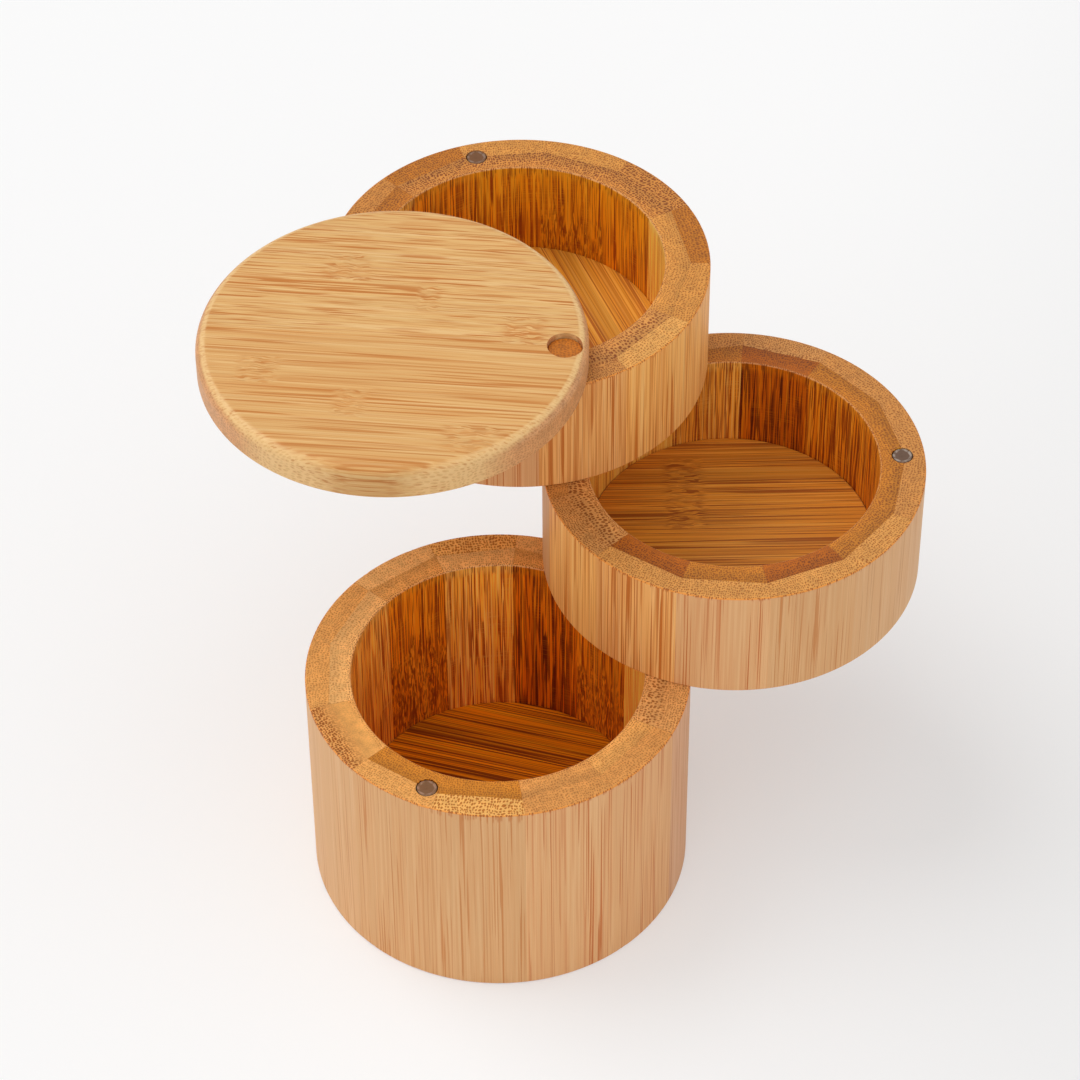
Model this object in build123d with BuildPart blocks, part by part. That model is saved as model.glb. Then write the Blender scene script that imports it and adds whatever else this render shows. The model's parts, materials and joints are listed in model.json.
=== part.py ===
from build123d import *
import os
from math import cos, radians, sin, tan

# Three-tier salt cellar of laminated bamboo, in millimetres, with +Z up.
# A deep base carries two shallow tiers and a lid, which swing on one upright dowel.
# It is modelled fanned out, with both tiers and the lid swung open.
# The origin is the centre of the base's underside.

# Round wall, the same on the base and on both tiers
outer_radius = 44.5
wall = 10.6
rim_round = 0.45

# Staves that the wall is glued up from, each a light outer ply on a darker inner ply
stave_count = 13
outer_ply = 5.7

# Heights and floors
base_height = 59.5
tier_height = 30.25
base_floor_thickness = 12.0
tier_floor_thickness = 5.5
floor_edge_chamfer = 0.3

# Lid, edge glued from flat strips. Its grain runs from the dowel to the magnet, and the glue
# joint nearest its middle lies a little to the left of that line
lid_thickness = 8.0
lid_top_round = 2.8
lid_bottom_round = 0.4
lid_strip_width = 9.0
lid_middle_joint = 0.7
lid_end_strip_least = 7.0

# Dowel that the tiers and the lid swing on
dowel_radius = 4.0
dowel_seat_depth = 40.0
dowel_sink = 1.3
dowel_end_chamfer = 0.3

# Disc magnets that hold each level shut
magnet_radius = 2.5
magnet_thickness = 3.0
magnet_edge_chamfer = 0.25
magnet_sink = 0.1

# Radial clearances: turning on the dowel, and the glue film round what is glued in
running_gap = 0.08
glue_gap = 0.05

# Direction from the dowel to the base's centre, then how far each level is swung
# from the one below it, in degrees seen from above
base_heading = -114.75
middle_swing = 116.2
top_swing = 102.8
lid_swing = 68.9

# First glue joint of each ring, from its magnet on, in degrees
base_stave_turn = 4.2
middle_stave_turn = -0.65
top_stave_turn = 4.1

# Worked out from the sizes above
bore_radius = outer_radius - wall
ply_line = outer_radius - outer_ply
pivot_radius = outer_radius - wall / 2
stave_angle = 360 / stave_count
pocket_radius = magnet_radius + glue_gap
pocket_depth = magnet_thickness + magnet_sink

middle_heading = base_heading + middle_swing
top_heading = middle_heading + top_swing
lid_heading = top_heading + lid_swing

middle_bottom = base_height
top_bottom = middle_bottom + tier_height
lid_bottom = top_bottom + tier_height
lid_top = lid_bottom + lid_thickness
dowel_bottom = base_height - dowel_seat_depth
dowel_top = lid_top - dowel_sink


def direction(heading):
    return Vector(cos(radians(heading)), sin(radians(heading)), 0)


pivot = direction(base_heading) * -pivot_radius


def centre_plane(heading, height):
    """Level plane at a piece's centre, its X axis pointing away from the dowel."""
    centre = pivot + direction(heading) * pivot_radius + Vector(0, 0, height)
    return Plane(origin=centre, x_dir=direction(heading), z_dir=(0, 0, 1))


def drill(plane, x, radius, start, depth):
    """Takes a round hole out of the part being built, upward from a height on the plane."""
    with BuildSketch(plane.offset(start)) as hole:
        with Locations((x, 0)):
            Circle(radius)
    extrude(hole.sketch, amount=depth, mode=Mode.SUBTRACT)


def drill_wall(ring):
    """The dowel's bore and the magnets' pockets in one ring's wall."""
    plane, height = ring["plane"], ring["height"]
    drill(plane, -pivot_radius, ring["bore_radius"], ring["bore_start"], height - ring["bore_start"])
    drill(plane, pivot_radius, pocket_radius, height - pocket_depth, pocket_depth)
    if ring["swings"]:
        drill(plane, pivot_radius, pocket_radius, 0, pocket_depth)


def stave_ply(ring, turn, round_radius, eased_edges, label):
    """One ply of a stave: flat where the two plies are glued, round on its open face."""
    half = stave_angle / 2
    flat_half_width = ply_line * tan(radians(half))
    arc_end_x = round_radius * cos(radians(half))
    arc_end_y = round_radius * sin(radians(half))
    with BuildPart() as ply:
        with BuildSketch(ring["plane"].rotated((0, 0, turn))):
            with BuildLine():
                CenterArc((0, 0), round_radius, -half, stave_angle)
                Line((arc_end_x, arc_end_y), (ply_line, flat_half_width))
                Line((ply_line, flat_half_width), (ply_line, -flat_half_width))
                Line((ply_line, -flat_half_width), (arc_end_x, -arc_end_y))
            make_face()
        extrude(amount=ring["height"])
        arcs = ply.edges().filter_by(GeomType.CIRCLE).sort_by(Axis.Z)
        fillet(arcs[-eased_edges:], rim_round)
        drill_wall(ring)
    ply.part.label = label
    return ply.part


def stave(ring, turn):
    """Outer ply, eased at the rim and at the foot, on an inner ply eased only at the rim."""
    outer = stave_ply(ring, turn, outer_radius, 2, "outer_ply")
    inner = stave_ply(ring, turn, bore_radius, 1, "inner_ply")
    return Compound(children=[outer, inner])


def floor_board(ring):
    """Floor, glued in flush with the wall's lower edge. Its eased edge shows as a fine seam."""
    with BuildPart() as board:
        with BuildSketch(ring["plane"]):
            Circle(bore_radius - glue_gap)
        extrude(amount=ring["floor"])
        chamfer(board.edges().sort_by(Axis.Z)[-1], floor_edge_chamfer)
    return board.part


def magnet_disc(plane, height):
    """Plated disc magnet on the far side of the wall from the dowel."""
    with BuildPart() as disc:
        with BuildSketch(plane.offset(height)):
            with Locations((pivot_radius, 0)):
                Circle(magnet_radius)
        extrude(amount=magnet_thickness)
        chamfer(disc.edges().filter_by(GeomType.CIRCLE), magnet_edge_chamfer)
    return disc.part


def lid_blank(plane):
    """Whole lid before it is divided into strips, rounded over and drilled."""
    with BuildPart() as blank:
        with BuildSketch(plane):
            Circle(outer_radius)
        extrude(amount=lid_thickness)
        fillet(blank.edges().sort_by(Axis.Z)[-1], lid_top_round)
        fillet(blank.edges().sort_by(Axis.Z)[0], lid_bottom_round)
        drill(plane, -pivot_radius, dowel_radius + running_gap, 0, lid_thickness)
        drill(plane, pivot_radius, pocket_radius, 0, pocket_depth)
    return blank.part


def lid_strip(blank, plane, low, high):
    """The part of the lid between two glue joints, which run along the grain."""
    with BuildPart() as strip:
        add(blank)
        with BuildSketch(plane):
            with Locations((0, (low + high) / 2)):
                Rectangle(2 * outer_radius, high - low)
        extrude(amount=lid_thickness, mode=Mode.INTERSECT)
    return strip.part


def save(piece, name):
    piece.label = name
    export_step(piece, f"parts/{name}.step")


os.makedirs("parts", exist_ok=True)

# Base and tiers. The dowel is glued in the base, and the tiers turn on it
rings = {
    "base": {
        "plane": centre_plane(base_heading, 0),
        "height": base_height,
        "floor": base_floor_thickness,
        "stave_turn": base_stave_turn,
        "bore_start": dowel_bottom,
        "bore_radius": dowel_radius + glue_gap,
        "swings": False,
    },
    "middle": {
        "plane": centre_plane(middle_heading, middle_bottom),
        "height": tier_height,
        "floor": tier_floor_thickness,
        "stave_turn": middle_stave_turn,
        "bore_start": 0,
        "bore_radius": dowel_radius + running_gap,
        "swings": True,
    },
    "top": {
        "plane": centre_plane(top_heading, top_bottom),
        "height": tier_height,
        "floor": tier_floor_thickness,
        "stave_turn": top_stave_turn,
        "bore_start": 0,
        "bore_radius": dowel_radius + running_gap,
        "swings": True,
    },
}

for ring_name, ring in rings.items():
    for number in range(stave_count):
        turn = ring["stave_turn"] + (number + 0.5) * stave_angle
        save(stave(ring, turn), f"{ring_name}_stave_{number + 1:02d}")
    save(floor_board(ring), f"{ring_name}_floor")
    rim_magnet_height = ring["height"] - magnet_sink - magnet_thickness
    save(magnet_disc(ring["plane"], rim_magnet_height), f"{ring_name}_rim_magnet")
    if ring["swings"]:
        save(magnet_disc(ring["plane"], magnet_sink), f"{ring_name}_keeper_magnet")

# Lid. Its end strips take what the whole strips leave of the disc
lid_plane = centre_plane(lid_heading, lid_bottom)
whole_lid = lid_blank(lid_plane)
last_joint = outer_radius - lid_end_strip_least
steps_below = int((last_joint + lid_middle_joint) / lid_strip_width)
steps_above = int((last_joint - lid_middle_joint) / lid_strip_width)
lid_joints = [
    lid_middle_joint + step * lid_strip_width for step in range(-steps_below, steps_above + 1)
]
strip_edges = [-outer_radius, *lid_joints, outer_radius]
for number, (low, high) in enumerate(zip(strip_edges, strip_edges[1:])):
    save(lid_strip(whole_lid, lid_plane, low, high), f"lid_strip_{number + 1:02d}")
save(magnet_disc(lid_plane, magnet_sink), "lid_keeper_magnet")

# Dowel, from its blind seat in the base to just below the lid's top
with BuildPart() as dowel:
    with BuildSketch(Plane.XY.offset(dowel_bottom)):
        with Locations((pivot.X, pivot.Y)):
            Circle(dowel_radius)
    extrude(amount=dowel_top - dowel_bottom)
    chamfer(dowel.edges().filter_by(GeomType.CIRCLE), dowel_end_chamfer)
save(dowel.part, "pivot_dowel")
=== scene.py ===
import json
import math
import bpy
from mathutils import Euler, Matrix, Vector

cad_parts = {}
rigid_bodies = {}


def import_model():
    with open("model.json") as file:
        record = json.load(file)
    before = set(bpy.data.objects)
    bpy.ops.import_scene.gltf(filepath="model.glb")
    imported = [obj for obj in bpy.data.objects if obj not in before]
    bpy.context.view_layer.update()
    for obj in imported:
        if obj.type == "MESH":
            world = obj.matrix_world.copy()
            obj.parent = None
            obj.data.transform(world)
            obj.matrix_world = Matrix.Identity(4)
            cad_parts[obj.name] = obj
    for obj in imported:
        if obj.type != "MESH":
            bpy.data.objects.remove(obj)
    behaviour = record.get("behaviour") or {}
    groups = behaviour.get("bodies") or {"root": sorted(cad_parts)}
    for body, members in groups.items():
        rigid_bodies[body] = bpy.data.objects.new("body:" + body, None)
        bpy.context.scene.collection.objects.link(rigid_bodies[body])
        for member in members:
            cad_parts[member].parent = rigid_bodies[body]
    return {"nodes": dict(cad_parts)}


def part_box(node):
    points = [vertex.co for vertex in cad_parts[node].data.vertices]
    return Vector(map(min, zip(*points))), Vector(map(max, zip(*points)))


# Dressing of a three-tier salt cellar of laminated bamboo. The frame holds every piece in place.
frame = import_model()
for leftover in list(bpy.data.objects):
    if leftover.type in ("CAMERA", "LIGHT") or leftover.name == "Cube":
        bpy.data.objects.remove(leftover)
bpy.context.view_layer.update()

# Sizes are in millimetres, times MM where Blender takes metres. Angles are written in degrees and
# handed on in radians
MM = 0.001

# Camera, fitted to the photograph's outlines
CAMERA_PLACE = (0, -639.93 * MM, 745.87 * MM)
CAMERA_TURN = (44.8207, 0.2899, -1.1812)
CAMERA_LENS = 135.57
CAMERA_SENSOR = 36
CAMERA_CLIP_START = 10 * MM

# Light, as shares of the level at which a colour renders as it is written. The key comes from
# high on the far left, and two fills from the viewer's left and right
SKY_LEVEL = 0.56
LAMPS = {
    "key": {"level": 0.27, "source": (-0.45, 0.28, 0.85), "spread": 40},
    "left_fill": {"level": 0.15, "source": (-0.61, -0.51, 0.60), "spread": 90},
    "right_fill": {"level": 0.15, "source": (0.69, -0.40, 0.60), "spread": 110},
}

# Ring of staves: how many, and where the two plies meet, from the ring's centre
STAVE_COUNT = 13
PLY_LINE = 38.8

# How squarely a face must cut the fibres for end grain to begin to show on it, and to fill it
END_FACING = (0.45, 0.75)

# Wood's surface. Raised grain is a little smoother than the rest
GRAIN_DEPTH = 0.04 * MM
GRAIN_SMOOTHNESS = 0.06
WOOD_SPECULAR = 0.35
STAVE_ROUGHNESS = 0.54
BOARD_ROUGHNESS = 0.48

# How far a texture moves along its three values from one seed to the next, in its own features.
# Each texture of a material has the material's seed and an offset of its own
SEED_STEPS = (7.31, 3.17, 1.13)


def srgb(red, green, blue):
    """A colour as it is read off a screen, 0 to 255, in the linear values that materials use."""
    linear = []
    for level in (red, green, blue):
        share = level / 255
        linear.append(share / 12.92 if share <= 0.04045 else ((share + 0.055) / 1.055) ** 2.4)
    return (*linear, 1.0)


def make_look(**values):
    """A look's values by name, with its colours, which are written as on a screen, made linear."""
    return {
        key: srgb(*value) if isinstance(value, tuple) else value for key, value in values.items()
    }


class Graph:
    """A node tree that is being built, with one short method for each kind of node that it uses."""

    def __init__(self, owner):
        owner.use_nodes = True
        self.owner = owner
        self.tree = owner.node_tree
        self.tree.nodes.clear()

    def add(self, kind, inputs=None, **settings):
        node = self.tree.nodes.new("ShaderNode" + kind)
        for key, value in settings.items():
            setattr(node, key, value)
        for key, value in (inputs or {}).items():
            self.feed(node.inputs[key], value)
        return node

    def feed(self, socket, value):
        if isinstance(value, bpy.types.NodeSocket):
            self.tree.links.new(value, socket)
        elif socket.type == "VECTOR":
            socket.default_value = value[:3]
        else:
            socket.default_value = value

    def math(self, operation, *values):
        node = self.add("Math", operation=operation)
        for socket, value in zip(node.inputs, values):
            self.feed(socket, value)
        return node.outputs[0]

    def times(self, first, *others):
        for other in others:
            first = self.math("MULTIPLY", first, other)
        return first

    def plus(self, first, *others):
        for other in others:
            first = self.math("ADD", first, other)
        return first

    def minus(self, first, second):
        return self.math("SUBTRACT", first, second)

    def vector(self, operation, *values):
        node = self.add("VectorMath", operation=operation)
        for socket, value in zip(node.inputs, values):
            self.feed(socket, value)
        return node.outputs["Value" if operation in ("DOT_PRODUCT", "LENGTH") else "Vector"]

    def ramp(self, value, low, high, to_low=0.0, to_high=1.0):
        """Value carried smoothly from low..high to to_low..to_high, and held beyond."""
        keys = {
            "Value": value, "From Min": low, "From Max": high, "To Min": to_low, "To Max": to_high,
        }
        return self.add("MapRange", keys, interpolation_type="SMOOTHSTEP").outputs["Result"]

    def band(self, value, low, high, blur):
        """1 between low and high, and falling to 0 within a blur outside them."""
        return self.times(self.ramp(value, low - blur, low), self.ramp(value, high + blur, high))

    def mix(self, factor, first, second):
        """Colour that goes from first to second as factor goes from 0 to 1."""
        node = self.add("Mix", data_type="RGBA", clamp_factor=True)
        for index, value in ((0, factor), (6, first), (7, second)):
            self.feed(node.inputs[index], value)
        return node.outputs[2]

    def between(self, factor, first, second):
        """Number that goes from first to second as factor goes from 0 to 1."""
        node = self.add("Mix", data_type="FLOAT", clamp_factor=True)
        for index, value in ((0, factor), (2, first), (3, second)):
            self.feed(node.inputs[index], value)
        return node.outputs[0]

    def shade(self, colour, amount):
        """Colour made lighter or darker by a share, such as 0.1 or -0.1."""
        scale = self.math("ADD", amount, 1.0)
        return self.vector("MULTIPLY", colour, self.join(scale, scale, scale))

    def join(self, x, y, z):
        return self.add("CombineXYZ", {"X": x, "Y": y, "Z": z}).outputs["Vector"]

    def split(self, vector):
        return self.add("SeparateXYZ", {"Vector": vector}).outputs

    def spread(self, values, sizes, seed):
        """Point of a texture whose features have the given sizes along the three values."""
        shifted = [
            self.plus(self.math("DIVIDE", value, size), step * seed)
            for value, size, step in zip(values, sizes, SEED_STEPS)
        ]
        return self.join(*shifted)

    def drift(self, values, sizes, seed, detail=0.0):
        """Soft change of tone with features of the given sizes, mostly from -0.5 to 0.5."""
        keys = {"Vector": self.spread(values, sizes, seed), "Scale": 1.0, "Detail": detail}
        return self.math("MULTIPLY_ADD", self.add("TexNoise", keys).outputs["Fac"], 2.0, -1.0)

    def cells(self, values, sizes, seed, randomness):
        """Distance to the nearest of a field of scattered lines, and a random share for each.

        The lines run along the third value, one to each cell of the first two sizes.
        """
        keys = {"Vector": self.spread(values, sizes, seed), "Scale": 1.0, "Randomness": randomness}
        node = self.add("TexVoronoi", keys, voronoi_dimensions="2D")
        chance = self.add("SeparateColor", {"Color": node.outputs["Color"]}).outputs[0]
        return node.outputs["Distance"], chance

    def local(self, origin, turn):
        """X, Y and Z in millimetres from origin, in a frame turned about the vertical."""
        place = self.add("TexCoord").outputs["Object"]
        keys = {
            "Vector": place, "Location": origin, "Rotation": (0, 0, turn), "Scale": (MM, MM, MM),
        }
        return tuple(self.split(self.add("Mapping", keys, vector_type="TEXTURE").outputs["Vector"]))

    def facing(self, direction):
        """How squarely the surface faces a direction or its opposite, from 0 to 1."""
        normal = self.add("TexCoord").outputs["Normal"]
        return self.math("ABSOLUTE", self.vector("DOT_PRODUCT", normal, direction))

    def finish(self, colour, roughness, height, depth, **shader):
        """Puts the surface together. Height is in shares of depth, which is in metres."""
        bump = self.add("Bump", {"Height": height, "Strength": 1.0, "Distance": depth})
        keys = {"Base Color": colour, "Roughness": roughness, "Normal": bump.outputs["Normal"]}
        surface = self.add("BsdfPrincipled", keys)
        for key, value in shader.items():
            surface.inputs[key.replace("_", " ")].default_value = value
        self.add("OutputMaterial", {"Surface": surface.outputs["BSDF"]})
        return self.owner


def long_grain(graph, place, look, seed):
    """Bamboo cut along its fibres. place is across, across and along, in millimetres.

    Streaks of the look's width and length are crowded in some stretches and rare in others. Pale
    streaks and hair-fine lines lie between them. Returns the colour and the height of the surface.
    """
    width, length = look["width"], look["length"]
    crowd = graph.drift(place, (5.0, 5.0, 60.0), seed + 3, 1.0)
    streak = graph.drift(place, (width, width, length), seed, 0.5)
    strength = graph.ramp(graph.drift(place, (1.1, 1.1, 90.0), seed + 7), -0.25, 0.25, 0.45, 1.0)
    light = graph.ramp(graph.drift(place, (0.60, 0.60, 60.0), seed + 9), 0.0, 0.35)
    line = graph.drift(place, (0.32, 0.32, graph.times(length, 0.6)), seed + 5)
    start = graph.math("MULTIPLY_ADD", crowd, -0.30, look["start"])
    dark = graph.times(graph.ramp(streak, start, graph.plus(start, look["blur"])), strength)
    hair = graph.ramp(line, 0.0, 0.24)

    colour = graph.mix(graph.times(light, look["pale_share"]), look["ground"], look["pale"])
    colour = graph.mix(graph.times(hair, look["line_share"]), colour, look["dark"])
    colour = graph.mix(graph.times(dark, look["dark_share"]), colour, look["dark"])
    colour = graph.shade(colour, graph.times(graph.plus(line, crowd), look["unrest"]))
    height = graph.minus(graph.times(line, 0.5), graph.times(dark, 0.5))
    return colour, height


# Dark bundles of a cut end: how freely they are scattered, the sides of the cell that each one
# has, as shares of its look's pitch, and how softly its dot ends. Where bundles lie close their
# cells have one size, and their dots end between two shares of it
BUNDLE_SCATTER = 0.55
BUNDLE_CELL = (1.15, 0.90)
BUNDLE_BLUR = 0.07
CLOSE_CELL = (0.58, 0.46, 1.0)
CLOSE_DOT = (0.38, 0.22)


def end_grain(graph, place, look, seed, graded=0.0):
    """Bamboo cut across its fibres: a pale ground full of dark dots, which are its bundles.

    graded goes to 1 where the bundles lie closer, as they do towards the culm's skin.
    Returns the colour, the height, the cover of the dots and a random share for each.
    """
    patch = graph.drift(place, (2.2, 2.2, 30.0), seed + 3, 1.0)
    mottle = graph.drift(place, (0.34, 0.34, 30.0), seed + 5, 1.0)
    bend = graph.times(graph.drift(place, (4.0, 4.0, 30.0), seed + 15), 0.8)
    across, along, depth = place
    bent = (graph.plus(across, bend), graph.minus(along, bend), depth)

    wide_cell = (*(graph.times(look["pitch"], share) for share in BUNDLE_CELL), 1.0)
    wide, wide_chance = graph.cells(bent, wide_cell, seed, BUNDLE_SCATTER)
    radius = graph.times(look["size"], graph.math("MULTIPLY_ADD", wide_chance, 0.5, 0.75))
    wide_dot = graph.ramp(
        wide, graph.plus(radius, BUNDLE_BLUR), graph.plus(radius, -BUNDLE_BLUR))
    close, close_chance = graph.cells(bent, CLOSE_CELL, seed + 11, BUNDLE_SCATTER)
    close_cover = graph.ramp(close_chance, 0.0, 0.6, 0.5, 1.0)
    close_dot = graph.times(graph.ramp(close, *CLOSE_DOT), close_cover)
    dot = graph.between(graded, wide_dot, close_dot)
    chance = graph.between(graded, wide_chance, close_chance)

    colour = graph.mix(graph.times(dot, look["cover"]), look["end"], look["dot"])
    colour = graph.shade(colour, graph.plus(graph.times(patch, 0.24), graph.times(mottle, 0.26)))
    height = graph.minus(graph.times(mottle, 0.4), graph.times(dot, 0.15))
    return colour, height, dot, chance


# Looks of a cut end. pitch is the spacing of the dark bundles, size is their radius as a share of
# it, and cover is how much of their tone shows
ENDS = {
    "golden": make_look(end=(229, 165, 88), dot=(172, 100, 34), pitch=0.58, size=0.29, cover=0.58),
    "tan": make_look(end=(217, 151, 79), dot=(158, 90, 34), pitch=0.62, size=0.29, cover=0.54),
    "brown": make_look(end=(203, 129, 37), dot=(140, 72, 10), pitch=0.60, size=0.31, cover=0.56),
    "russet": make_look(end=(184, 100, 4), dot=(122, 56, 1), pitch=0.60, size=0.31, cover=0.54),
    "pale": make_look(end=(239, 183, 111), dot=(186, 116, 50), pitch=0.62, size=0.29, cover=0.54),
    "dotted": make_look(end=(218, 150, 76), dot=(142, 74, 18), pitch=0.66, size=0.33, cover=0.75),
    "coarse": make_look(end=(238, 180, 98), dot=(176, 100, 28), pitch=0.74, size=0.34, cover=0.78),
    "studded": make_look(end=(222, 158, 84), dot=(150, 78, 12), pitch=0.64, size=0.38, cover=0.95),
    "speckled": make_look(end=(222, 160, 92), dot=(152, 84, 28), pitch=0.84, size=0.32, cover=0.80),
}

# Each ring's own tone of cut end, as shares of the looks' red, green and blue, and the strength
# of its bundles
END_TONE = {"base": (1.0, 1.0, 1.0), "middle": (0.85, 0.81, 0.72), "top": (0.85, 0.76, 0.55)}
BUNDLE_STRENGTH = {"base": 1.2, "middle": 1.6, "top": 1.6}

# Looks of a long face. start is how far a streak's tone must rise before it shows, so that a
# higher start leaves fewer streaks, and blur is how softly it begins
LONGS = {
    "plain": make_look(
        ground=(218, 168, 116), dark=(194, 130, 74), pale=(228, 184, 136), width=0.45, length=40.0,
        start=0.16, blur=0.18, dark_share=0.65, line_share=0.14, pale_share=0.40, unrest=0.06),
    "fine": make_look(
        ground=(217, 165, 111), dark=(192, 118, 54), pale=(228, 182, 130), width=0.38, length=42.0,
        start=0.12, blur=0.14, dark_share=0.75, line_share=0.18, pale_share=0.45, unrest=0.05),
    "lined": make_look(
        ground=(224, 169, 114), dark=(190, 100, 34), pale=(233, 186, 132), width=0.38, length=52.0,
        start=0.14, blur=0.12, dark_share=0.85, line_share=0.20, pale_share=0.50, unrest=0.05),
    "bold": make_look(
        ground=(242, 177, 102), dark=(188, 100, 28), pale=(248, 194, 126), width=0.38, length=45.0,
        start=0.07, blur=0.12, dark_share=0.88, line_share=0.40, pale_share=0.55, unrest=0.07),
    # A lighter copy of bold: painted light for outer faces that lie in shade
    "bold_painted_light": make_look(
        ground=(252, 190, 106), dark=(198, 108, 28), pale=(255, 208, 132), width=0.38, length=45.0,
        start=0.07, blur=0.12, dark_share=0.88, line_share=0.40, pale_share=0.55, unrest=0.07),
    "sunny": make_look(
        ground=(252, 200, 84), dark=(184, 104, 10), pale=(255, 218, 116), width=0.38, length=40.0,
        start=0.07, blur=0.12, dark_share=0.90, line_share=0.50, pale_share=0.60, unrest=0.14),
    "rosy": make_look(
        ground=(216, 164, 122), dark=(192, 124, 78), pale=(228, 182, 144), width=0.8, length=45.0,
        start=0.12, blur=0.22, dark_share=0.70, line_share=0.18, pale_share=0.45, unrest=0.06),
    "deep": make_look(
        ground=(206, 104, 0), dark=(80, 18, 0), pale=(226, 134, 14), width=0.42, length=20.0,
        start=0.02, blur=0.10, dark_share=0.95, line_share=0.80, pale_share=0.80, unrest=0.30),
    "amber": make_look(
        ground=(230, 136, 14), dark=(118, 40, 0), pale=(244, 166, 42), width=0.42, length=22.0,
        start=0.03, blur=0.10, dark_share=0.95, line_share=0.76, pale_share=0.80, unrest=0.30),
    "blush": make_look(
        ground=(244, 170, 56), dark=(148, 64, 6), pale=(250, 198, 96), width=0.40, length=24.0,
        start=0.04, blur=0.10, dark_share=0.95, line_share=0.72, pale_share=0.80, unrest=0.26),
    "honey": make_look(
        ground=(232, 144, 12), dark=(136, 52, 0), pale=(244, 170, 36), width=0.46, length=20.0,
        start=0.06, blur=0.14, dark_share=0.95, line_share=0.66, pale_share=0.70, unrest=0.28),
}

# Each stave, in the order of their numbers: outer ply's end and face, inner ply's end and face
# The lighter copy of bold is painted light on outer faces that the lid and the tiers above shade
STAVES = {
    "base": [
        ("coarse", "fine", "brown", "amber"), ("tan", "lined", "tan", "blush"),
        ("tan", "lined", "golden", "amber"), ("speckled", "rosy", "speckled", "blush"),
        ("tan", "fine", "tan", "sunny"), ("tan", "fine", "tan", "amber"),
        ("pale", "lined", "golden", "deep"), ("coarse", "plain", "pale", "blush"),
        ("pale", "fine", "golden", "amber"), ("golden", "lined", "pale", "blush"),
        ("golden", "plain", "pale", "blush"), ("studded", "plain", "golden", "amber"),
        ("golden", "fine", "brown", "deep"),
    ],
    "middle": [
        ("tan", "plain", "brown", "amber"), ("tan", "lined", "brown", "amber"),
        ("speckled", "fine", "russet", "deep"), ("tan", "bold", "brown", "blush"),
        ("golden", "lined", "tan", "sunny"), ("tan", "fine", "tan", "sunny"),
        ("tan", "fine", "speckled", "amber"), ("speckled", "bold_painted_light", "speckled", "blush"),
        ("golden", "bold", "russet", "amber"), ("golden", "lined", "brown", "deep"),
        ("golden", "fine", "russet", "amber"), ("golden", "plain", "brown", "blush"),
        ("tan", "plain", "brown", "amber"),
    ],
    "top": [
        ("brown", "fine", "dotted", "amber"), ("tan", "lined", "brown", "blush"),
        ("golden", "fine", "tan", "amber"), ("pale", "plain", "brown", "blush"),
        ("golden", "lined", "golden", "amber"), ("golden", "lined", "golden", "deep"),
        ("speckled", "bold", "speckled", "amber"), ("pale", "bold_painted_light", "speckled", "blush"),
        ("golden", "bold_painted_light", "golden", "honey"), ("brown", "fine", "golden", "sunny"),
        ("dotted", "lined", "dotted", "honey"), ("golden", "fine", "dotted", "honey"),
        ("golden", "lined", "dotted", "honey"),
    ],
}

# Cut end of a stave. Bundles lie close and dark along the inner rim, from its edge outwards. A
# speckled stave's bundles lie closer towards the skin, and a studded stave's fade towards the glue
INNER_RIM = (34.3, 35.5)
INNER_RIM_COVER = 0.75
SPECKLED_GRADING = (37.0, 42.5)
STUDDED_FADING = (PLY_LINE, 42.8)
STUDDED_LEAST = 0.15

# How much darker the inner ply's cut end is at the glue, and lighter at the rim's edge
INNER_PLY_SLOPE = 0.13

# How much lighter the inside of each ring is made, as a share: painted light on the insides, which
# lie in shade
INNER_PAINTED_LIGHT = {"base": 0.44, "middle": 0.14, "top": 0.30}

# Longest teeth that the bundles leave below the rim, and how much of their tone shows
OUTER_TOOTH = 0.9
COARSE_TOOTH = 2.6
INNER_TOOTH = 3.2
OUTER_TOOTH_COVER = 0.65
INNER_TOOTH_COVER = 0.85

# Pale stretch below the inner rim: where it begins and where it is palest
PALE_STRETCH = (3.5, 0.5)
PALE_COVER = 0.5

# Faint scratches inside: how steeply they run, and how much of them shows, from least to most
SCRATCH_SLOPE = 0.12
SCRATCH_COVER = (0.05, 0.32)

# Eased edges: how far a face is turned up or down where their tone begins, fills, begins to end
# and ends, and how much of it shows
EASED_FACING = (0.12, 0.40, 0.85, 0.985)
# The orange of the outer edge is partly the wood's own tone and partly a painted highlight
OUTER_EDGE_AND_HIGHLIGHT = srgb(234, 144, 48)
INNER_EDGE = srgb(226, 172, 116)
EDGE_DOT = srgb(158, 82, 26)
OUTER_EDGE_COVER = 0.70
INNER_EDGE_COVER = 0.45

# Glue line: how far from the joint its tone begins and fills, and how much of it shows
GLUE_LINE = (0.12, 0.03)
GLUE_COVER = 0.35
GLUE = srgb(150, 86, 34)

# Staves whose inner face shows where the culm had a joint: the band's middle and half its height,
# above the ring's underside. The band's ends are ragged and blurred, and it is a little darker
STAVE_KNUCKLES = {
    "base_stave_06": (19.0, 8.0),
    "base_stave_09": (22.0, 12.0),
    "top_stave_12": (9.0, 3.0),
}
KNUCKLE_RAG = 12.0
KNUCKLE_BLUR = 6.0
KNUCKLE_DARKENING = 0.12

# What changes in a long face's look where the culm had a joint, and how much of it shows
KNUCKLE_COVER = 0.85
KNUCKLE_LOOK = {
    "length": 3.6, "width": 0.36, "start": -0.02, "blur": 0.10, "dark_share": 0.95, "unrest": 0.16,
}

# Seeds: the first of a ring's staves comes this far after the last ring's first
RING_SEED_STEP = 20


def ring_centre(ring):
    low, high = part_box(f"{ring}_floor")
    return Vector(((low.x + high.x) / 2, (low.y + high.y) / 2, low.z))


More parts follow.
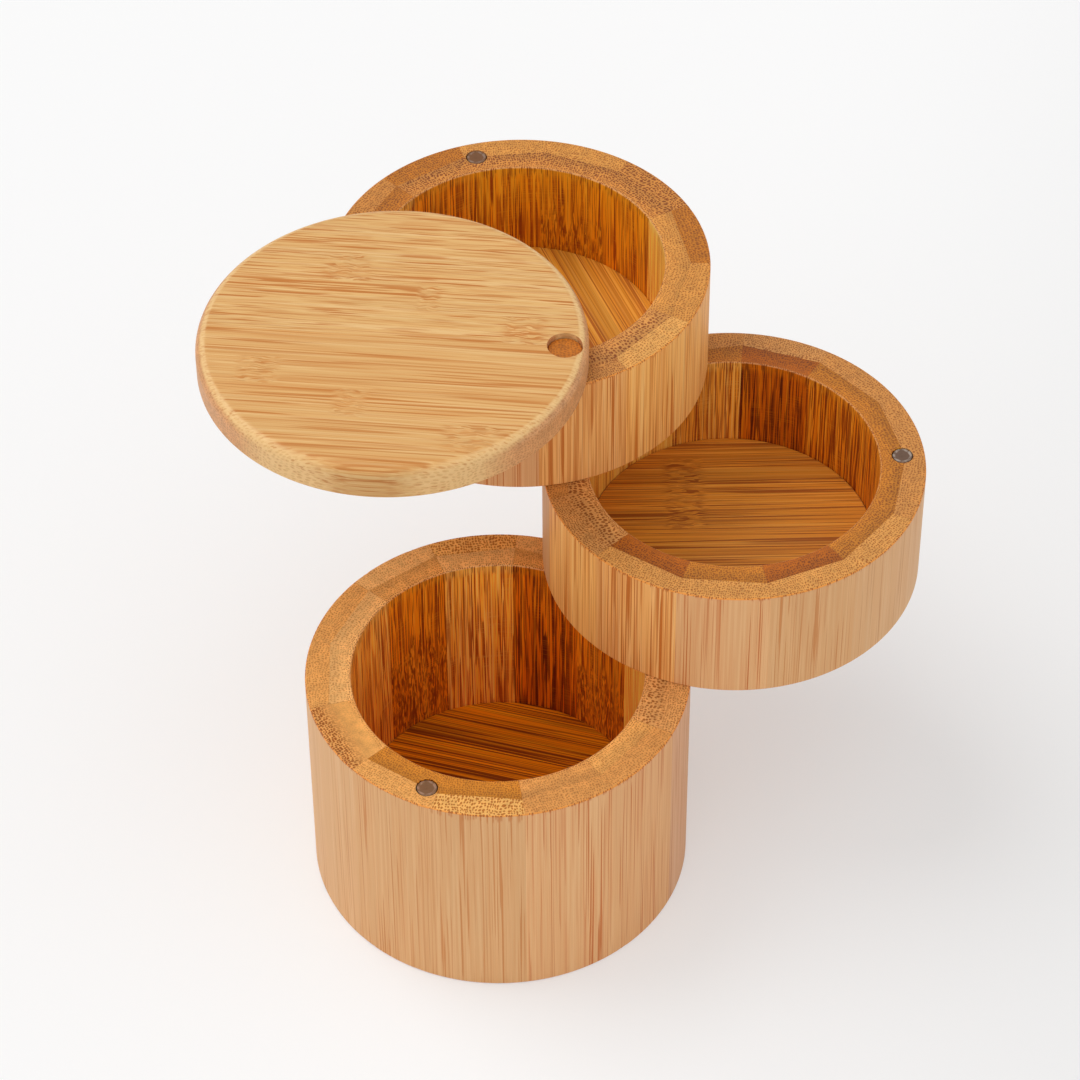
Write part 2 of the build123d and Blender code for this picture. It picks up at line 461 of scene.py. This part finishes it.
def stave_heading(node, centre):
    """Direction of a stave's middle from its ring's centre, from the spread of its corners."""
    first = None
    offsets = []
    for vertex in frame["nodes"][node].data.vertices:
        angle = math.atan2(vertex.co.y - centre.y, vertex.co.x - centre.x)
        first = angle if first is None else first
        offsets.append((angle - first + math.pi) % (2 * math.pi) - math.pi)
    return first + (min(offsets) + max(offsets)) / 2


def chosen_look(graph, factor, first, second):
    """Look that is the first where factor is 0 and the second where it is 1."""
    look = {}
    for key, value in first.items():
        pick = graph.mix if isinstance(value, tuple) else graph.between
        look[key] = value if value == second[key] else pick(factor, value, second[key])
    return look


def finish_wood(graph, colour, height, roughness):
    roughness = graph.math("MULTIPLY_ADD", height, -GRAIN_SMOOTHNESS, roughness)
    return graph.finish(colour, roughness, height, GRAIN_DEPTH, Specular_IOR_Level=WOOD_SPECULAR)


def add_knuckle(graph, place, cover, look, side, side_height, seed):
    """Where the culm had a joint, its fibres are cut short and lie crowded."""
    short, short_height = long_grain(graph, place, {**look, **KNUCKLE_LOOK}, seed + 41)
    side = graph.mix(graph.times(cover, KNUCKLE_COVER), side, short)
    return side, graph.between(cover, side_height, short_height)


def stave_end(graph, ring, place, in_outer, in_inner, outer_end, inner_end, seed):
    """A stave's cut end: its colour, height, the cover of its dots and a random share for each."""
    radial = place[0]
    look = chosen_look(graph, in_outer, ENDS[inner_end], ENDS[outer_end])
    fading = 1.0
    if outer_end == "studded":
        fading = graph.ramp(radial, *STUDDED_FADING, STUDDED_LEAST, 1.0)
    look["cover"] = graph.times(look["cover"], BUNDLE_STRENGTH[ring], fading)
    inner_rim = graph.ramp(radial, INNER_RIM[1], INNER_RIM[0])
    skinward = graph.ramp(radial, *SPECKLED_GRADING) if outer_end == "speckled" else 0.0
    cut, height, dot, chance = end_grain(graph, place, look, seed, graph.plus(inner_rim, skinward))
    cut = graph.vector("MULTIPLY", cut, END_TONE[ring])
    inward = graph.ramp(radial, PLY_LINE, INNER_RIM[0], -INNER_PLY_SLOPE, INNER_PLY_SLOPE)
    cut = graph.shade(cut, graph.times(inward, in_inner))
    cut = graph.mix(graph.times(inner_rim, dot, INNER_RIM_COVER), cut, EDGE_DOT)
    return cut, height, dot, chance


def stave_face(graph, node, ring, place, in_inner, look, seed):
    """A stave's long face, with painted light on the inside: its colour and height."""
    radial, tangential, height = place
    side, side_height = long_grain(graph, place, look, seed)
    if node in STAVE_KNUCKLES:
        middle, half = STAVE_KNUCKLES[node]
        rag = graph.times(graph.drift(place, (0.8, 0.8, 9.0), seed + 33), KNUCKLE_RAG)
        band = graph.band(graph.plus(height, rag), middle - half, middle + half, KNUCKLE_BLUR)
        cover = graph.times(band, in_inner)
        side, side_height = add_knuckle(graph, place, cover, look, side, side_height, seed)
        side = graph.shade(side, graph.times(cover, -KNUCKLE_DARKENING))
    # Painted light: the inside is made lighter by its ring's share
    side = graph.shade(side, graph.times(in_inner, INNER_PAINTED_LIGHT[ring]))

    # Faint pale scratches round the inside, left from turning
    tilted = graph.math("MULTIPLY_ADD", tangential, SCRATCH_SLOPE, height)
    scratch = graph.drift((radial, tangential, tilted), (9.0, 9.0, 0.17), seed + 13)
    scratch = graph.ramp(scratch, 0.12, 0.30)
    scratched = graph.drift(place, (7.0, 7.0, 9.0), seed + 17)
    scratched = graph.ramp(scratched, 0.0, 0.3, *SCRATCH_COVER)
    side = graph.mix(graph.times(scratch, scratched, in_inner), side, look["pale"])
    return side, side_height


def add_teeth(graph, node, height, in_inner, look, side, dot, chance, outer_tooth):
    """Bundles that the eased rim cuts at a slant show as teeth just below it."""
    low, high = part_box(node)
    below_rim = graph.minus((high.z - low.z) / MM, height)
    longest = graph.between(in_inner, outer_tooth, INNER_TOOTH)
    reach = graph.times(graph.plus(chance, 0.3), longest)
    tooth = graph.times(dot, graph.ramp(graph.math("DIVIDE", below_rim, reach), 1.0, 0.5))
    pale = graph.times(in_inner, graph.ramp(below_rim, *PALE_STRETCH), PALE_COVER)
    side = graph.mix(pale, side, look["pale"])
    cover = graph.between(in_inner, OUTER_TOOTH_COVER, INNER_TOOTH_COVER)
    return graph.mix(graph.times(tooth, cover), side, look["dark"])


def add_eased_edges(graph, colour, upward, in_outer, dot):
    """Eased edges are orange outside, partly the wood's own tone and partly a painted highlight,
    and pale inside, both broken by the bundles.
    """
    begins, fills, begins_to_end, ends = EASED_FACING
    eased = graph.times(graph.ramp(upward, begins, fills), graph.ramp(upward, ends, begins_to_end))
    # The orange outer edge is partly a painted highlight
    edge = graph.mix(in_outer, INNER_EDGE, OUTER_EDGE_AND_HIGHLIGHT)
    edge = graph.mix(graph.ramp(dot, 0.15, 0.5), edge, EDGE_DOT)
    cover = graph.between(in_outer, INNER_EDGE_COVER, OUTER_EDGE_COVER)
    return graph.mix(graph.times(eased, cover), colour, edge)


def add_glue_lines(graph, colour, radial, tangential, end):
    """Glue lines show on the cut end, at the joints with the staves on both sides."""
    half_pitch = math.pi / STAVE_COUNT
    from_middle = graph.times(graph.math("ABSOLUTE", tangential), math.cos(half_pitch))
    to_joint = graph.minus(graph.times(radial, math.sin(half_pitch)), from_middle)
    line = graph.ramp(to_joint, *GLUE_LINE, 0.0, GLUE_COVER)
    return graph.mix(graph.times(line, end), colour, GLUE)


def dress_stave(ring, number, centre):
    node = f"{ring}_stave_{number + 1:02d}"
    outer_end, outer_long, inner_end, inner_long = STAVES[ring][number]
    graph = Graph(bpy.data.materials.new(node))
    place = radial, tangential, height = graph.local(centre, stave_heading(node, centre))
    seed = number + 1 + RING_SEED_STEP * list(STAVES).index(ring)
    in_outer = graph.math("GREATER_THAN", radial, PLY_LINE)
    in_inner = graph.minus(1.0, in_outer)
    upward = graph.facing((0, 0, 1))

    cut, cut_height, dot, chance = stave_end(
        graph, ring, place, in_outer, in_inner, outer_end, inner_end, seed)
    look = chosen_look(graph, in_outer, LONGS[inner_long], LONGS[outer_long])
    side, side_height = stave_face(graph, node, ring, place, in_inner, look, seed)
    outer_tooth = COARSE_TOOTH if outer_end == "coarse" else OUTER_TOOTH
    side = add_teeth(graph, node, height, in_inner, look, side, dot, chance, outer_tooth)

    end = graph.ramp(upward, *END_FACING)
    colour = graph.mix(end, side, cut)
    colour = add_eased_edges(graph, colour, upward, in_outer, dot)
    colour = add_glue_lines(graph, colour, radial, tangential, end)
    return finish_wood(graph, colour, graph.between(end, side_height, cut_height), STAVE_ROUGHNESS)


for ring in STAVES:
    centre = ring_centre(ring)
    for number in range(STAVE_COUNT):
        stave = frame["nodes"][f"{ring}_stave_{number + 1:02d}"]
        stave.data.materials[0] = dress_stave(ring, number, centre)

# Boards: the lid's strips and the three floors. Their grain lies flat, turned from the X axis
GRAIN_TURN = {"lid": -6.85, "base": -17.0, "middle": 0.0, "top": -70.0}
LID_END = make_look(end=(211, 153, 101), dot=(172, 110, 58), pitch=0.66, size=0.30, cover=0.50)
FLOOR_END = make_look(end=(190, 130, 74), dot=(140, 84, 38), pitch=0.60, size=0.34, cover=0.5)
LID_LONGS = {
    "dashed": make_look(
        ground=(225, 177, 110), dark=(188, 110, 34), pale=(236, 197, 138), width=0.55, length=15.0,
        start=0.03, blur=0.22, dark_share=0.90, line_share=0.34, pale_share=0.55, unrest=0.07),
    "smooth": make_look(
        ground=(223, 172, 105), dark=(190, 114, 38), pale=(234, 192, 130), width=0.62, length=38.0,
        start=0.02, blur=0.26, dark_share=0.85, line_share=0.32, pale_share=0.55, unrest=0.07),
}
FLOOR_LONGS = {
    "base": make_look(
        ground=(248, 152, 2), dark=(110, 36, 0), pale=(252, 178, 30), width=0.42, length=90.0,
        start=0.05, blur=0.10, dark_share=0.88, line_share=0.50, pale_share=0.60, unrest=0.14),
    "middle": make_look(
        ground=(226, 148, 44), dark=(136, 60, 4), pale=(240, 174, 74), width=0.50, length=60.0,
        start=0.06, blur=0.16, dark_share=0.80, line_share=0.36, pale_share=0.50, unrest=0.10),
    "top": make_look(
        ground=(232, 160, 48), dark=(164, 78, 8), pale=(244, 186, 84), width=0.50, length=60.0,
        start=0.06, blur=0.16, dark_share=0.80, line_share=0.30, pale_share=0.50, unrest=0.08),
}

# Each floor is glued from narrow strips. A strip's streaks are shifted along it from its
# neighbour's, and its tone is up to half this share lighter or darker
FLOOR_STRIP = 4.6
STRIP_SHIFT = 37.7
STRIP_TONE = 0.18

# The lid's first strips have dashed streaks, and the others smooth ones
LID_DASHED_STRIPS = 5

# The lid's shoulder: its tone, partly the cut fibres' own and partly a painted highlight, how
# square to the fibres a face is where that tone begins, fills, begins to end and ends, how far a
# face is turned up where its painted shade begins and is darkest, and how much darker it is there
SHOULDER_TONE_AND_HIGHLIGHT = srgb(238, 198, 138)
SHOULDER_FACING = (0.10, 0.30, 0.50, 0.72)
SHOULDER_SHADE_FACING = (0.95, 0.3)
SHOULDER_PAINTED_SHADE = 0.14

# A knuckle is where the culm had a joint, and the fibres swirl and are cut short: its middle and
# half its size, along and across the grain. The strength is its cover at the middle, and the swirl
# how far its fibres stray
KNUCKLES = {
    "lid_strip_03": (-12.7, 21.8, 5.0, 4.4),
    "lid_strip_04": (6.9, 12.8, 2.5, 4.4),
    "lid_strip_05": (29.6, 3.8, 4.5, 4.4),
    "lid_strip_07": (-28.5, -14.2, 4.5, 4.4),
    "lid_strip_08": (-6.8, -23.2, 3.5, 4.4),
    "lid_strip_09": (21.4, -32.2, 6.0, 4.4),
    "middle_floor": (-10.3, 15.0, 4.6, 11.8),
}
KNUCKLE_STRENGTH = 0.90
KNUCKLE_SWIRL = 0.7

# Seeds of the floors, of the lid's first strip and of the dowel
FLOOR_SEED = 80
LID_SEED = 100
DOWEL_SEED = 131


def knuckle_cover(graph, along, across, knuckle):
    middle_along, middle_across, half_along, half_across = knuckle
    off_along = graph.math("ABSOLUTE", graph.minus(along, middle_along))
    off_across = graph.math("ABSOLUTE", graph.minus(across, middle_across))
    return graph.times(
        graph.ramp(off_along, half_along * 1.35, half_along * 0.65),
        graph.ramp(off_across, half_across * 1.05, half_across * 0.95),
        KNUCKLE_STRENGTH,
    )


def shouldered(graph, side, cut, end, endwise, dot):
    """Long and cut faces of a board with a round shoulder, which has painted shade that darkens it
    as it falls away from the top.

    It is pale where it begins to cut the fibres, partly the fibres' own tone and partly a painted
    highlight, broken by the bundles.
    """
    # Painted shade: the shoulder darkens as it turns away from the top
    painted_shade = graph.ramp(graph.facing((0, 0, 1)), *SHOULDER_SHADE_FACING, 0.0, -SHOULDER_PAINTED_SHADE)
    colour = graph.mix(end, graph.shade(side, painted_shade), cut)
    # The pale band is partly a painted highlight
    begins, fills, begins_to_end, ends = SHOULDER_FACING
    rising, falling = graph.ramp(endwise, begins, fills), graph.ramp(endwise, ends, begins_to_end)
    cover = graph.times(rising, falling, graph.ramp(dot, 0.6, 0.1, 0.3, 0.7))
    return graph.mix(cover, colour, SHOULDER_TONE_AND_HIGHLIGHT)


def dress_board(node, centre, turn, long_look, end_look, seed, strip_width=None, shoulder=False):
    """Board whose grain lies flat, and which may be glued from strips or have a round shoulder."""
    graph = Graph(bpy.data.materials.new(node))
    along, across, height = graph.local(centre, turn)
    endwise = graph.facing((math.cos(turn), math.sin(turn), 0))
    end = graph.ramp(endwise, *END_FACING)
    shifted = along
    if strip_width:
        strip = graph.math("FLOOR", graph.math("DIVIDE", across, strip_width))
        shifted = graph.math("MULTIPLY_ADD", strip, STRIP_SHIFT, along)
    place = (height, across, shifted)
    knuckle = KNUCKLES.get(node)
    if knuckle:
        cover = knuckle_cover(graph, along, across, knuckle)
        swirl = graph.drift((along, across, height), (2.8, 2.2, 3.0), seed + 31)
        strayed = graph.plus(across, graph.times(swirl, cover, KNUCKLE_SWIRL))
        place = (height, strayed, shifted)

    side, side_height = long_grain(graph, place, long_look, seed)
    if knuckle:
        side, side_height = add_knuckle(graph, place, cover, long_look, side, side_height, seed)
    if strip_width:
        number = graph.add("TexWhiteNoise", {"W": strip}, noise_dimensions="1D").outputs["Value"]
        tone = graph.math("MULTIPLY_ADD", number, STRIP_TONE, -STRIP_TONE / 2)
        side = graph.shade(side, tone)
    cut, cut_height, dot, _ = end_grain(graph, place, end_look, seed)
    if shoulder:
        colour = shouldered(graph, side, cut, end, endwise, dot)
    else:
        colour = graph.mix(end, side, cut)
    return finish_wood(graph, colour, graph.between(end, side_height, cut_height), BOARD_ROUGHNESS)


for ring in STAVES:
    name = f"{ring}_floor"
    frame["nodes"][name].data.materials[0] = dress_board(
        name, ring_centre(ring), math.radians(GRAIN_TURN[ring]), FLOOR_LONGS[ring], FLOOR_END,
        FLOOR_SEED, strip_width=FLOOR_STRIP)

lid_nodes = sorted(name for name in frame["nodes"] if name.startswith("lid_strip"))
lid_lows, lid_highs = zip(*(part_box(name) for name in lid_nodes))
lid_centre = Vector((
    (min(low.x for low in lid_lows) + max(high.x for high in lid_highs)) / 2,
    (min(low.y for low in lid_lows) + max(high.y for high in lid_highs)) / 2,
    lid_lows[0].z,
))
lid_turn = math.radians(GRAIN_TURN["lid"])
for number, name in enumerate(lid_nodes):
    look = LID_LONGS["dashed" if number < LID_DASHED_STRIPS else "smooth"]
    frame["nodes"][name].data.materials[0] = dress_board(
        name, lid_centre, lid_turn, look, LID_END, LID_SEED + number, shoulder=True)

# Dowel, whose cut end shows in the lid
DOWEL_ROUGHNESS = 0.55
DOWEL_DEPTH = 0.05 * MM
DOWEL_END = make_look(end=(192, 110, 22), dot=(140, 72, 14), pitch=0.65, size=0.33, cover=0.60)
graph = Graph(bpy.data.materials.new("dowel"))
dowel_low, dowel_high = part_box("pivot_dowel")
place = graph.local((dowel_low + dowel_high) / 2, 0.0)
side, side_height = long_grain(graph, place, LONGS["amber"], DOWEL_SEED)
cut, cut_height, _, _ = end_grain(graph, place, DOWEL_END, DOWEL_SEED)
end = graph.ramp(graph.facing((0, 0, 1)), *END_FACING)
frame["nodes"]["pivot_dowel"].data.materials[0] = graph.finish(
    graph.mix(end, side, cut), DOWEL_ROUGHNESS, graph.between(end, side_height, cut_height),
    DOWEL_DEPTH, Specular_IOR_Level=WOOD_SPECULAR)

# Magnets, nickel plated: the tone of each one's face, a painted reflection of the wood around it
# that is darker where it lies in shade, and how strong the painted highlight ring near its edge is.
# The ring and the dark edge, which is painted shade, lie between two radii, and the ring is ragged
# and blurred
MAGNETS = {
    "base": (srgb(152, 130, 106), 0.75),
    "middle": (srgb(116, 92, 78), 0.58),
    "top": (srgb(128, 90, 64), 0.25),
    "lid": (srgb(128, 90, 64), 0.25),
}
HIGHLIGHT_RING = (1.80, 2.10)
HIGHLIGHT_RING_RAG = 0.35
HIGHLIGHT_RING_BLUR = 0.28
HIGHLIGHT_RING_TONE = srgb(206, 192, 180)
SHADED_EDGE = (2.2, 2.36)
SHADED_EDGE_TONE = srgb(78, 64, 54)
MAGNET_SEED = 150
MAGNET_ROUGHNESS = 0.34
SCRATCH_DEPTH = 0.01 * MM


def dress_magnet(node):
    graph = Graph(bpy.data.materials.new(node))
    low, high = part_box(node)
    place = x, y, _ = graph.local((low + high) / 2, 0.0)
    radius = graph.math("SQRT", graph.plus(graph.times(x, x), graph.times(y, y)))
    scratch = graph.drift(place, (1.4, 0.12, 1.0), MAGNET_SEED, 3.0)
    wear_and_glint = graph.drift(place, (1.1, 1.1, 0.9), MAGNET_SEED + 4, 2.0)
    broken = graph.drift(place, (1.6, 1.6, 1.0), MAGNET_SEED + 8, 1.0)
    ragged = graph.math("MULTIPLY_ADD", broken, HIGHLIGHT_RING_RAG, radius)
    # Painted highlight ring where the rounded edge catches the light
    ring = graph.band(ragged, *HIGHLIGHT_RING, HIGHLIGHT_RING_BLUR)
    ring = graph.times(ring, graph.ramp(wear_and_glint, -0.25, 0.25, 0.1, 1.0))
    # The face's tone is a painted reflection of the wood around it, with painted shade
    face_reflection, highlight_share = MAGNETS[node.split("_")[0]]
    colour = graph.mix(graph.times(ring, highlight_share), face_reflection, HIGHLIGHT_RING_TONE)
    # Painted shade along the magnet's edge
    colour = graph.mix(graph.ramp(radius, *SHADED_EDGE), colour, SHADED_EDGE_TONE)
    colour = graph.shade(colour, graph.plus(graph.times(scratch, 0.16), graph.times(wear_and_glint, 0.16)))
    roughness = graph.math("MULTIPLY_ADD", scratch, 0.08, MAGNET_ROUGHNESS)
    return graph.finish(colour, roughness, scratch, SCRATCH_DEPTH, Metallic=1.0)


for name, node in frame["nodes"].items():
    if name.endswith("_magnet"):
        node.data.materials[0] = dress_magnet(name)

# Floor, which keeps the object's shadow and is lifted towards white for the eye alone. Its tone
# falls off towards the right and the viewer: painted shade, where the light falls off
FLOOR_SIZE = 6000 * MM
FLOOR_GAP = 0.05 * MM
FLOOR_COLOUR = srgb(249, 249, 249)
FLOOR_LIFT = 0.38
FLOOR_SLANT = -0.35
FLOOR_SHADE_SPAN = (-20.0, 250.0)
FLOOR_PAINTED_SHADE = 0.13
bpy.ops.mesh.primitive_plane_add(size=FLOOR_SIZE, location=(0, 0, -FLOOR_GAP))
floor = bpy.context.object
floor.name = "studio_floor"
graph = Graph(bpy.data.materials.new("studio_floor"))
rays = graph.add("LightPath").outputs
lift = graph.times(rays["Is Camera Ray"], FLOOR_LIFT)
x, y, _ = graph.local((0, 0, 0), 0.0)
away = graph.math("MULTIPLY_ADD", y, FLOOR_SLANT, x)
# Painted shade: the floor darkens towards the right and the viewer
tone = graph.shade(FLOOR_COLOUR, graph.ramp(away, *FLOOR_SHADE_SPAN, 0.0, -FLOOR_PAINTED_SHADE))
matt = graph.add("BsdfDiffuse", {"Color": tone}).outputs["BSDF"]
white = graph.add("Emission", {"Color": tone}).outputs["Emission"]
surface = graph.add("MixShader")
for socket, value in zip(surface.inputs, (lift, matt, white)):
    graph.feed(socket, value)
graph.add("OutputMaterial", {"Surface": surface.outputs["Shader"]})
floor.data.materials.append(graph.owner)

# World, a plain soft light that is white to the eye and in reflections
world = bpy.data.worlds.new("studio")
bpy.context.scene.world = world
graph = Graph(world)
rays = graph.add("LightPath").outputs
seen = graph.math("MAXIMUM", rays["Is Camera Ray"], rays["Is Glossy Ray"])
seen = graph.math("MAXIMUM", seen, rays["Is Transmission Ray"])
level = graph.between(seen, SKY_LEVEL, 1.0)
background = graph.add("Background", {"Strength": level}).outputs["Background"]
graph.add("OutputWorld", {"Surface": background})


def soft_sun(name, level, source, spread):
    """Distant lamp that adds a share of the plain level to a level surface."""
    data = bpy.data.lights.new(name, "SUN")
    direction = Vector(source).normalized()
    data.energy = level * math.pi / direction.z
    data.angle = math.radians(spread)
    lamp = bpy.data.objects.new(name, data)
    lamp.rotation_euler = direction.to_track_quat("Z", "Y").to_euler()
    bpy.context.scene.collection.objects.link(lamp)


for name, lamp in LAMPS.items():
    soft_sun(name, **lamp)

# Camera at the photograph's viewing angle
camera_data = bpy.data.cameras.new("camera")
camera_data.sensor_width = CAMERA_SENSOR
camera_data.lens = CAMERA_LENS
camera_data.clip_start = CAMERA_CLIP_START
camera = bpy.data.objects.new("camera", camera_data)
camera.location = CAMERA_PLACE
camera.rotation_euler = Euler([math.radians(angle) for angle in CAMERA_TURN], "XYZ")
bpy.context.scene.collection.objects.link(camera)
bpy.context.scene.camera = camera

bpy.context.scene.view_settings.view_transform = "Standard"
